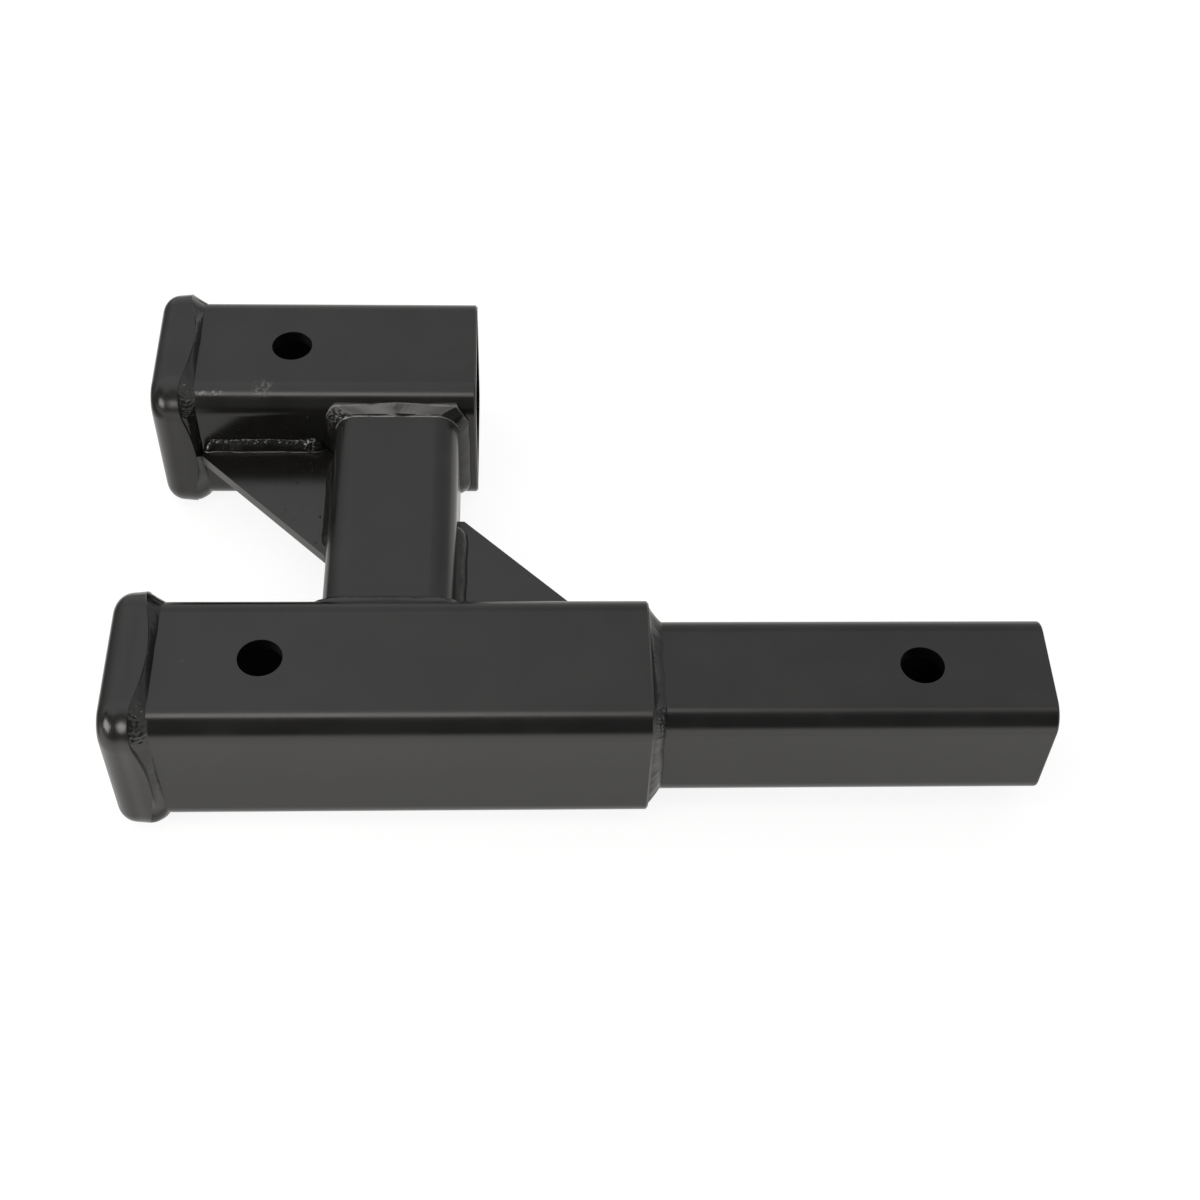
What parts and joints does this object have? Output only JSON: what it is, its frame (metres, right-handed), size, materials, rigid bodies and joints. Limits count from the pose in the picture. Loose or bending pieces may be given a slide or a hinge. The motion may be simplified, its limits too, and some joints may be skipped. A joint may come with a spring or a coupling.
{
  "type": "hitch receiver extender",
  "caption": "Black welded steel extender: a square shank with a receiver in line and another receiver beside it on a gusseted post, with cross pin holes.",
  "frame": {"origin": "centre of the shank's pin hole, on the shank's axis", "axes": "+X along the shank towards the vehicle, +Y from the lower receiver to the upper one, +Z along the pin holes, so the part lies on its side"},
  "size_m": [0.35, 0.2336, 0.071],
  "materials": {
    "tube_powder_coat": "satin black powder coat",
    "collar_powder_coat": "satin black powder coat",
    "plate_powder_coat": "satin black powder coat",
    "weld_powder_coat": "glossier black powder coat over weld metal"
  },
  "bodies": {
    "root": {"shank_tube": "tube_powder_coat", "lower_receiver_tube": "tube_powder_coat", "upper_receiver_tube": "tube_powder_coat", "post_tube": "tube_powder_coat", "lower_collar": "collar_powder_coat", "upper_collar": "collar_powder_coat", "lower_gusset": "plate_powder_coat", "upper_gusset": "plate_powder_coat", "shank_weld": "weld_powder_coat", "lower_collar_weld": "weld_powder_coat", "upper_collar_weld": "weld_powder_coat", "lower_post_weld": "weld_powder_coat", "upper_post_weld": "weld_powder_coat", "lower_gusset_receiver_weld_top": "weld_powder_coat", "lower_gusset_receiver_weld_bottom": "weld_powder_coat", "lower_gusset_post_weld_top": "weld_powder_coat", "lower_gusset_post_weld_bottom": "weld_powder_coat", "upper_gusset_receiver_weld_top": "weld_powder_coat", "upper_gusset_receiver_weld_bottom": "weld_powder_coat", "upper_gusset_post_weld_top": "weld_powder_coat", "upper_gusset_post_weld_bottom": "weld_powder_coat"}
  },
  "joints": []
}
